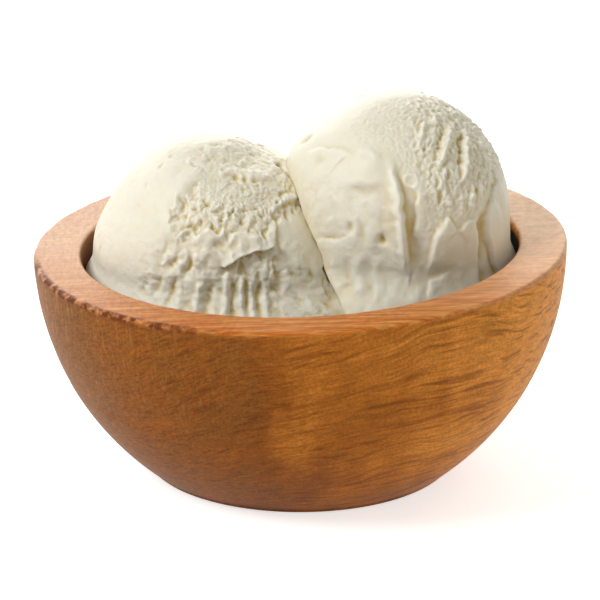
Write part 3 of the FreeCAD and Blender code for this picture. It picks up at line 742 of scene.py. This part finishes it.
def make_bowl():
    """The bowl turned as one skin: foot, outer wall, rim and hollow, with edges worn by hand, and
    masks for the rim's face, the hollow and a painted shadow along the outer edge at the left
    front.
    """
    theta = np.linspace(0, 2 * math.pi, TURNS, endpoint=False)
    cos, sin = np.cos(theta), np.sin(theta)
    circle = np.stack([cos, sin, np.zeros(TURNS)], 1)

    def outer_at(z):
        return OUTER - OUTER_ARC + np.sqrt(OUTER_ARC**2 - np.clip(RIM - z, 0, None) ** 2)

    def inner_at(z):
        drop = np.clip(RIM - z, 0, INNER_ARC)
        return INNER - INNER_ARC + np.sqrt(np.maximum(INNER_ARC**2 - drop**2, 0))

    rings = []

    def ring(radius, height):
        radius = np.broadcast_to(radius, (TURNS,))
        height = np.broadcast_to(height, (TURNS,))
        rings.append(np.stack([cos * radius, sin * radius, height], 1))

    def rim_height(radius):
        return RIM + SLOPE * radius * cos

    # foot and outer wall
    round_out = 0.95 + 0.35 * noise(circle * 65, 7.0, 3) + 0.15 * noise(circle * 65, 2.0, 4)
    round_in = 0.95 + 0.25 * noise(circle * 53, 6.0, 5)
    quarter = math.pi / 2
    for part in np.linspace(0.02, 1, 16):
        ring((FOOT - FOOT_ROUND) * part, 0.0)
    spot = outer_at(FOOT_ROUND)
    for angle in np.linspace(0, quarter, 6)[1:]:
        radius = FOOT - FOOT_ROUND + (spot - FOOT + FOOT_ROUND) * math.sin(angle)
        ring(radius, FOOT_ROUND * (1 - math.cos(angle)))
    top = rim_height(OUTER) - round_out
    for part in np.linspace(0, 1, 60)[1:]:
        height = FOOT_ROUND + (top - FOOT_ROUND) * part
        ring(outer_at(height), height)
    # rim
    for angle in np.linspace(0, quarter, 7)[1:]:
        radius = outer_at(top) - round_out * (1 - math.cos(angle))
        ring(radius, rim_height(radius) - round_out * (1 - math.sin(angle)))
    for part in np.linspace(0, 1, 12)[1:]:
        radius = (OUTER - round_out) * (1 - part) + (INNER + round_in) * part
        ring(radius, rim_height(radius))
    for angle in np.linspace(0, quarter, 6)[1:]:
        radius = INNER + round_in * (1 - math.sin(angle))
        ring(radius, rim_height(radius) - round_in * (1 - math.cos(angle)))
    # hollow
    inner_start = len(rings) * TURNS
    start = rim_height(INNER) - round_in
    for part in np.linspace(0, 1, 26)[1:]:
        height = start + (FLOOR + FLOOR_ROUND - start) * part
        ring(inner_at(height), height)
    for part in np.linspace(1, 0.02, 12)[1:]:
        radius = inner_at(np.full(TURNS, FLOOR + FLOOR_ROUND)) * part
        ring(radius, FLOOR + FLOOR_ROUND - np.sqrt(np.maximum(1.0 - part**2, 0)) * FLOOR_ROUND)
    points = np.concatenate(rings)

    flat = np.hypot(points[:, 0], points[:, 1])
    above = points[:, 2] - RIM - SLOPE * points[:, 0]
    # which points are inside the hollow; the material darkens that wall as painted shade
    hollow = (np.arange(len(points)) >= inner_start).astype(float)
    face = smooth(flat, INNER - 0.2, INNER + 0.6) * smooth(above, -1.3, -0.4)
    # painted shadow along the outer edge at the left front, under the rounded rim edge
    bearing = np.degrees(np.arctan2(points[:, 0], -points[:, 1]))
    worn = smooth(bearing, -95, -75) * smooth(-bearing, 12, 30) * (flat > OUTER - 2.4)
    worn = worn * smooth(above, -2.2, -1.2) * smooth(flat, OUTER - 1.9, OUTER - 1.0)
    # the outer wall's unevenness
    wear = noise(points, 26.0, 6) * 0.12 + noise(points, 6.0, 7) * 0.05
    away = points * np.array([1, 1, 0]) / np.maximum(flat, 1e-6)[:, None]
    wall = smooth(points[:, 2], 2, 6) * (flat > INNER + 4)
    points = points + away * (wear * wall - 0.12 * wall)[:, None]

    last = (len(rings) - 1) * TURNS
    faces = []
    for low in range(0, last, TURNS):
        high = low + TURNS
        for turn in range(TURNS):
            after = (turn + 1) % TURNS
            faces.append((low + turn, low + after, high + after, high + turn))
    bottom = len(points)
    points = np.vstack([points, [0, 0, 0], [0, 0, points[-1, 2]]])
    thing = make_mesh("bowl_turned", points, faces)
    set_attribute(thing.data, "hollow", np.append(hollow, (0, 1)))
    set_attribute(thing.data, "face", np.append(face, (0, 0)))
    # where the painted shadow along the outer edge at the left front lies
    set_attribute(thing.data, "worn", np.append(worn, (0, 0)))

    # close the middle of the foot and of the hollow's floor
    shape = bmesh.new()
    shape.from_mesh(thing.data)
    shape.verts.ensure_lookup_table()
    verts = shape.verts
    for turn in range(TURNS):
        after = (turn + 1) % TURNS
        under = shape.faces.new((verts[turn], verts[bottom], verts[after]))
        over = shape.faces.new((verts[last + turn], verts[last + after], verts[bottom + 1]))
        under.smooth = over.smooth = True
    bmesh.ops.recalc_face_normals(shape, faces=shape.faces)
    shape.to_mesh(thing.data)
    shape.free()
    return thing


# ---------------------------------------------------------------- materials


class Graph:
    """Short calls for the nodes of a material or a world."""

    def __init__(self, owner):
        owner.use_nodes = True
        self.tree = owner.node_tree
        self.tree.nodes.clear()

    def set(self, socket, value):
        if isinstance(value, bpy.types.NodeSocket):
            self.tree.links.new(value, socket)
        else:
            socket.default_value = value

    def node(self, kind, inputs=None, **settings):
        made = self.tree.nodes.new(kind)
        for key, value in settings.items():
            setattr(made, key, value)
        for key, value in (inputs or {}).items():
            self.set(made.inputs[key], value)
        return made

    def place(self):
        return self.node("ShaderNodeTexCoord").outputs["Object"]

    def attribute(self, name):
        return self.node("ShaderNodeAttribute", attribute_name=name).outputs["Fac"]

    def noise(self, vector, scale, detail=3.0, rough=0.5, distortion=0.0):
        settings = {"Vector": vector, "Scale": scale, "Detail": detail}
        settings.update({"Roughness": rough, "Distortion": distortion})
        return self.node("ShaderNodeTexNoise", settings).outputs["Fac"]

    def stretch(self, vector, scale, rotation=(0, 0, 0)):
        settings = {"Vector": vector, "Scale": scale, "Rotation": rotation}
        return self.node("ShaderNodeMapping", settings).outputs["Vector"]

    def dot(self, vector, weights):
        made = self.node("ShaderNodeVectorMath", {0: vector, 1: weights}, operation="DOT_PRODUCT")
        return made.outputs["Value"]

    def ramp(self, value, stops):
        made = self.node("ShaderNodeValToRGB", {"Fac": value})
        while len(made.color_ramp.elements) < len(stops):
            made.color_ramp.elements.new(0.5)
        for element, (position, colour) in zip(made.color_ramp.elements, stops):
            colour = colour if isinstance(colour, tuple) else (colour,) * 3
            element.position = position
            element.color = (*colour, 1.0)
        return made.outputs["Color"]

    def mix(self, factor, first, second, blend="MIX"):
        made = self.node("ShaderNodeMix", data_type="RGBA", blend_type=blend)
        self.set(made.inputs[0], factor)
        for key, value in ((6, first), (7, second)):
            self.set(made.inputs[key], (*value, 1.0) if isinstance(value, tuple) else value)
        return made.outputs[2]

    def math(self, operation, first, second=0.0, clamp=False):
        inputs = {0: first, 1: second}
        return self.node("ShaderNodeMath", inputs, operation=operation, use_clamp=clamp).outputs[0]

    def line(self, value, slope, offset, clamp=True):
        """slope times value, plus offset."""
        return self.math("ADD", self.math("MULTIPLY", value, slope), offset, clamp)

    def bump(self, height, strength, distance):
        settings = {"Height": height, "Strength": strength, "Distance": distance}
        return self.node("ShaderNodeBump", settings).outputs["Normal"]

    def surface(self, inputs):
        shader = self.node("ShaderNodeBsdfPrincipled", inputs)
        self.node("ShaderNodeOutputMaterial", {"Surface": shader.outputs[0]})

    def background_ray(self):
        """1 for the rays that see a white background: camera, glossy and transmission rays."""
        rays = self.node("ShaderNodeLightPath").outputs
        either = self.math("MAXIMUM", rays["Is Camera Ray"], rays["Is Glossy Ray"])
        return self.math("MAXIMUM", either, rays["Is Transmission Ray"])


def cream_material():
    """Vanilla ice cream with fine crystals; its colour carries painted shade, yellow in the hollows
    and dark brown in the deepest pits, and painted highlight, paler on the crests.
    """
    # colours of painted shade in hollows, painted highlight on crests and painted shadow in the
    # deepest pits
    painted_shade_colour, painted_highlight_colour = (0.70, 0.57, 0.27), (0.93, 0.905, 0.82)
    painted_pit_shadow_colour = (0.24, 0.12, 0.05)
    material = bpy.data.materials.new("ice_cream")
    graph = Graph(material)
    place = graph.place()
    hollow = graph.attribute("hollow")
    rough = graph.attribute("rough")
    mottle = graph.noise(place, 70.0, 3.0)
    fine = graph.noise(place, 1900.0, 2.0, 0.6)
    base = graph.mix(mottle, (0.85, 0.815, 0.69), (0.89, 0.86, 0.76))
    speck = graph.math("MULTIPLY", graph.math("SUBTRACT", fine, 0.5), rough)
    depth = graph.math("ADD", hollow, graph.math("MULTIPLY", speck, -0.5))
    # painted shade: the lower a point lies among its neighbours, the yellower
    painted_shade_amount = graph.ramp(depth, ((0.0, 0.0), (0.42, 1.0)))
    colour = graph.mix(painted_shade_amount, base, painted_shade_colour)
    # painted highlight: crests paler
    crest = graph.ramp(graph.math("MULTIPLY", depth, -1.0), ((0.0, 0.0), (0.25, 1.0)))
    colour = graph.mix(crest, colour, painted_highlight_colour)
    # painted shadow: the deepest pits dark brown
    dark = graph.ramp(hollow, ((0.92, 0.0), (1.0, 1.0)))
    colour = graph.mix(dark, colour, painted_pit_shadow_colour)
    soft = graph.noise(place, 700.0, 3.0, 0.6)
    crystals = graph.math("MULTIPLY", speck, 1.6)
    height = graph.math("ADD", crystals, graph.math("MULTIPLY", soft, 0.6))
    graph.surface(
        {
            "Base Color": colour,
            "Roughness": 0.50,
            "Normal": graph.bump(height, 0.40, 0.0004),
            "Subsurface Weight": 0.30,
            "Subsurface Radius": (1.0, 0.75, 0.45),
            "Subsurface Scale": 0.0012,
            "Specular IOR Level": 0.30,
        }
    )
    return material


def wood_material():
    """Hardwood: broad drifting tones on the left, fine wavy lines on the right, a redder rim with a
    painted reflection that makes it paler towards the back and right, and painted shade in the
    hollow and on the outer edge at the left front.

    The fibres run from the left front to the right back, in layers that rise to the right and
    arch over.
    """
    # the first colour is a painted shadow for the outer edge at the left front
    painted_edge_shadow_colour = (0.15, 0.035, 0.007)
    scratch_colour = (0.62, 0.26, 0.085)
    material = bpy.data.materials.new("bowl_wood")
    graph = Graph(material)
    place = graph.place()
    turn = math.radians(24)
    x = graph.dot(place, (1.0, 0.0, 0.0))
    along = graph.dot(place, (math.cos(turn), math.sin(turn), 0.0))
    across = graph.dot(place, (-math.sin(turn), math.cos(turn), 0.0))
    layer = graph.dot(place, (-0.30, 0.0, 1.0))
    bow = graph.math("MULTIPLY", graph.math("MULTIPLY", x, x), 4.0)
    layer = graph.math("ADD", layer, bow)
    sway = graph.math("MULTIPLY", graph.noise(place, 30.0, 2.0), 0.010)
    layer = graph.math("ADD", layer, sway)
    grain = graph.node("ShaderNodeCombineXYZ", {"X": along, "Y": across, "Z": layer}).outputs[0]

    # broad tones, brighter towards the right
    drift = graph.stretch(place, (42.0, 30.0, 12.0), (0.0, 0.35, 0.0))
    drift = graph.noise(drift, 1.0, 3.0, 0.5, 0.3)
    rings = graph.noise(graph.stretch(grain, (11.0, 60.0, 130.0)), 1.0, 3.0, 0.55)
    drift, rings = graph.math("MULTIPLY", drift, 0.30), graph.math("MULTIPLY", rings, 0.30)
    tone = graph.math("ADD", drift, rings)
    bands = graph.stretch(place, (130.0, 60.0, 10.0), (0.0, 0.30, 0.0))
    bands = graph.noise(bands, 1.0, 2.0, 0.5)
    tone = graph.math("ADD", tone, graph.math("MULTIPLY", bands, 0.16))
    tone = graph.math("ADD", tone, graph.line(x, 4.2, 0.105, False))
    colours = (
        (0.30, (0.25, 0.090, 0.015)),
        (0.44, (0.31, 0.092, 0.011)),
        (0.56, (0.52, 0.175, 0.022)),
        (0.72, (0.80, 0.32, 0.055)),
    )
    base = graph.ramp(tone, colours)

    # fine lines, fibres, scratches of the left side, and specks
    lines = graph.noise(graph.stretch(grain, (34.0, 190.0, 820.0)), 1.0, 2.0, 0.5, 0.25)
    lines = graph.ramp(lines, ((0.34, 0.0), (0.45, 1.0)))
    strength = graph.line(x, 5.0, 0.55)
    shade = graph.mix(lines, (0.56, 0.46, 0.36), (1.10, 1.10, 1.10))
    base = graph.mix(strength, base, shade, "MULTIPLY")
    fibres = graph.noise(graph.stretch(grain, (130.0, 420.0, 1600.0)), 1.0, 3.0, 0.6)
    shade = graph.ramp(fibres, ((0.32, 0.74), (0.68, 1.20)))
    base = graph.mix(1.0, base, shade, "MULTIPLY")
    slanted = graph.stretch(place, (1300.0, 1100.0, 150.0), (0.0, 0.70, 0.0))
    scratches = graph.ramp(graph.noise(slanted, 1.0, 2.0, 0.6), ((0.52, 0.0), (0.70, 0.42)))
    left_side = graph.math("MULTIPLY", x, -14.0, True)
    scratches = graph.math("MULTIPLY", scratches, left_side)
    base = graph.mix(scratches, base, scratch_colour)
    specks = graph.noise(place, 1500.0, 2.0, 0.6)
    shade = graph.ramp(specks, ((0.35, 0.82), (0.65, 1.14)))
    base = graph.mix(1.0, base, shade, "MULTIPLY")

    # the rim's face: red stripes of grain, and a painted reflection that makes it paler towards the
    # back and the right
    stripes = graph.stretch(place, (60.0, 900.0, 900.0), (0.0, 0.0, 0.12))
    stripes = graph.noise(stripes, 1.0, 3.0, 0.65)
    reds = ((0.36, (0.50, 0.12, 0.016)), (0.50, (0.64, 0.21, 0.034)), (0.64, (0.74, 0.34, 0.10)))
    top = graph.ramp(stripes, reds)
    right_side = graph.line(x, 9.0, 0.5)
    painted_reflection_colour = graph.mix(right_side, (0.76, 0.53, 0.38), (0.97, 0.70, 0.47))
    rearward = graph.line(graph.dot(place, (0.0, 1.0, 0.0)), 16.0, 0.95)
    top = graph.mix(graph.math("MULTIPLY", rearward, 0.72), top, painted_reflection_colour)
    shade = graph.ramp(fibres, ((0.32, 0.84), (0.68, 1.10)))
    top = graph.mix(1.0, top, shade, "MULTIPLY")
    base = graph.mix(graph.attribute("face"), base, top)

    # painted shade: the hollow's wall dark, darkest on the right, and a painted shadow on the outer
    # edge at the left front
    deep = graph.line(x, 12.0, 0.5)
    painted_inside_shade = graph.mix(deep, (0.14, 0.052, 0.015), (0.006, 0.003, 0.002))
    base = graph.mix(graph.attribute("hollow"), base, painted_inside_shade)
    # painted shadow along the outer edge at the left front, broken up by noise
    ragged = graph.ramp(graph.noise(place, 420.0, 3.0, 0.6), ((0.38, 0.0), (0.56, 1.0)))
    ragged = graph.math("MULTIPLY", graph.attribute("worn"), ragged)
    base = graph.mix(ragged, base, painted_edge_shadow_colour)

    height = graph.math("MULTIPLY", fibres, 0.5)
    height = graph.math("ADD", height, graph.math("MULTIPLY", lines, 0.4))
    graph.surface(
        {
            "Base Color": base,
            "Roughness": 0.50,
            "Normal": graph.bump(height, 0.25, 0.00010),
            "Specular IOR Level": 0.10,
        }
    )
    return material


# ---------------------------------------------------------------- build

scoop_left = make_scoop("scoop_left_cream", LEFT, 100, LEFT_MARKS)
scoop_right = make_scoop("scoop_right_cream", RIGHT, 200, RIGHT_MARKS)
bowl = make_bowl()

cream = cream_material()
wood = wood_material()
for piece, node, slot, material in (
    (scoop_left, "scoop_left", "ice_cream", cream),
    (scoop_right, "scoop_right", "ice_cream", cream),
    (bowl, "bowl", "bowl_wood", wood),
):
    piece.data.materials.append(material)
    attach(piece, "root")
    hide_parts(node)

# ---------------------------------------------------------------- stage

floor_mesh = bpy.data.meshes.new("floor")
floor_mesh.from_pydata([(-4, -4, 0), (4, -4, 0), (4, 4, 0), (-4, 4, 0)], [], [(0, 1, 2, 3)])
floor = bpy.data.objects.new("floor", floor_mesh)
bpy.context.scene.collection.objects.link(floor)
floor_white = bpy.data.materials.new("floor_white")
graph = Graph(floor_white)
paint = graph.node("ShaderNodeBsdfDiffuse", {"Color": (0.86, 0.86, 0.86, 1.0)})
glow = graph.math("MULTIPLY", graph.background_ray(), 0.66)
glow = graph.node("ShaderNodeEmission", {"Strength": glow})
both = graph.node("ShaderNodeAddShader", {0: paint.outputs[0], 1: glow.outputs[0]})
graph.node("ShaderNodeOutputMaterial", {"Surface": both.outputs[0]})
floor_mesh.materials.append(floor_white)

world = bpy.data.worlds.new("studio")
bpy.context.scene.world = world
graph = Graph(world)
level = graph.mix(graph.background_ray(), (0.385, 0.365, 0.305), (1.0, 1.0, 1.0))
sky = graph.node("ShaderNodeBackground", {"Color": level})
graph.node("ShaderNodeOutputWorld", {"Surface": sky.outputs[0]})


def aim(thing, target):
    direction = np.array(target) - np.array(thing.location)
    rise = math.atan2(direction[2], math.hypot(direction[0], direction[1]))
    thing.rotation_euler = (math.pi / 2 + rise, 0, math.atan2(-direction[0], direction[1]))


def area_light(name, place, target, size, power, colour=(1, 1, 1)):
    lamp = bpy.data.lights.new(name, "AREA")
    lamp.shape = "RECTANGLE"
    lamp.size, lamp.size_y = size
    lamp.energy = power
    lamp.color = colour
    thing = bpy.data.objects.new(name, lamp)
    bpy.context.scene.collection.objects.link(thing)
    thing.location = place
    thing.visible_camera = False
    aim(thing, target)


area_light("key", (-0.66, -0.34, 0.74), (0, 0, 0.06), (0.42, 0.42), 5.9, (1.0, 1.0, 0.99))
area_light("back", (0.0, 1.0, 0.42), (0, 0, 0.06), (1.4, 0.45), 8.0)
area_light("fill", (0.75, -0.75, 0.30), (0, 0, 0.05), (0.6, 0.5), 0.6, (1.0, 0.96, 0.86))

rim_middle = np.array([0.0, 0.0, RIM * MM])
view_rise = math.radians(18.6)
stand_off = 0.9
outward = np.array([0.0, -math.cos(view_rise), math.sin(view_rise)])
lens = bpy.data.cameras.new("camera")
lens.lens = 221.7
lens.sensor_width = 36.0
lens.clip_start = 0.05
camera = bpy.data.objects.new("camera", lens)
bpy.context.scene.collection.objects.link(camera)
camera.location = rim_middle + stand_off * outward
aim(camera, (0.0, 0.0, 0.041))
bpy.context.scene.camera = camera
bpy.context.scene.view_settings.view_transform = "Standard"
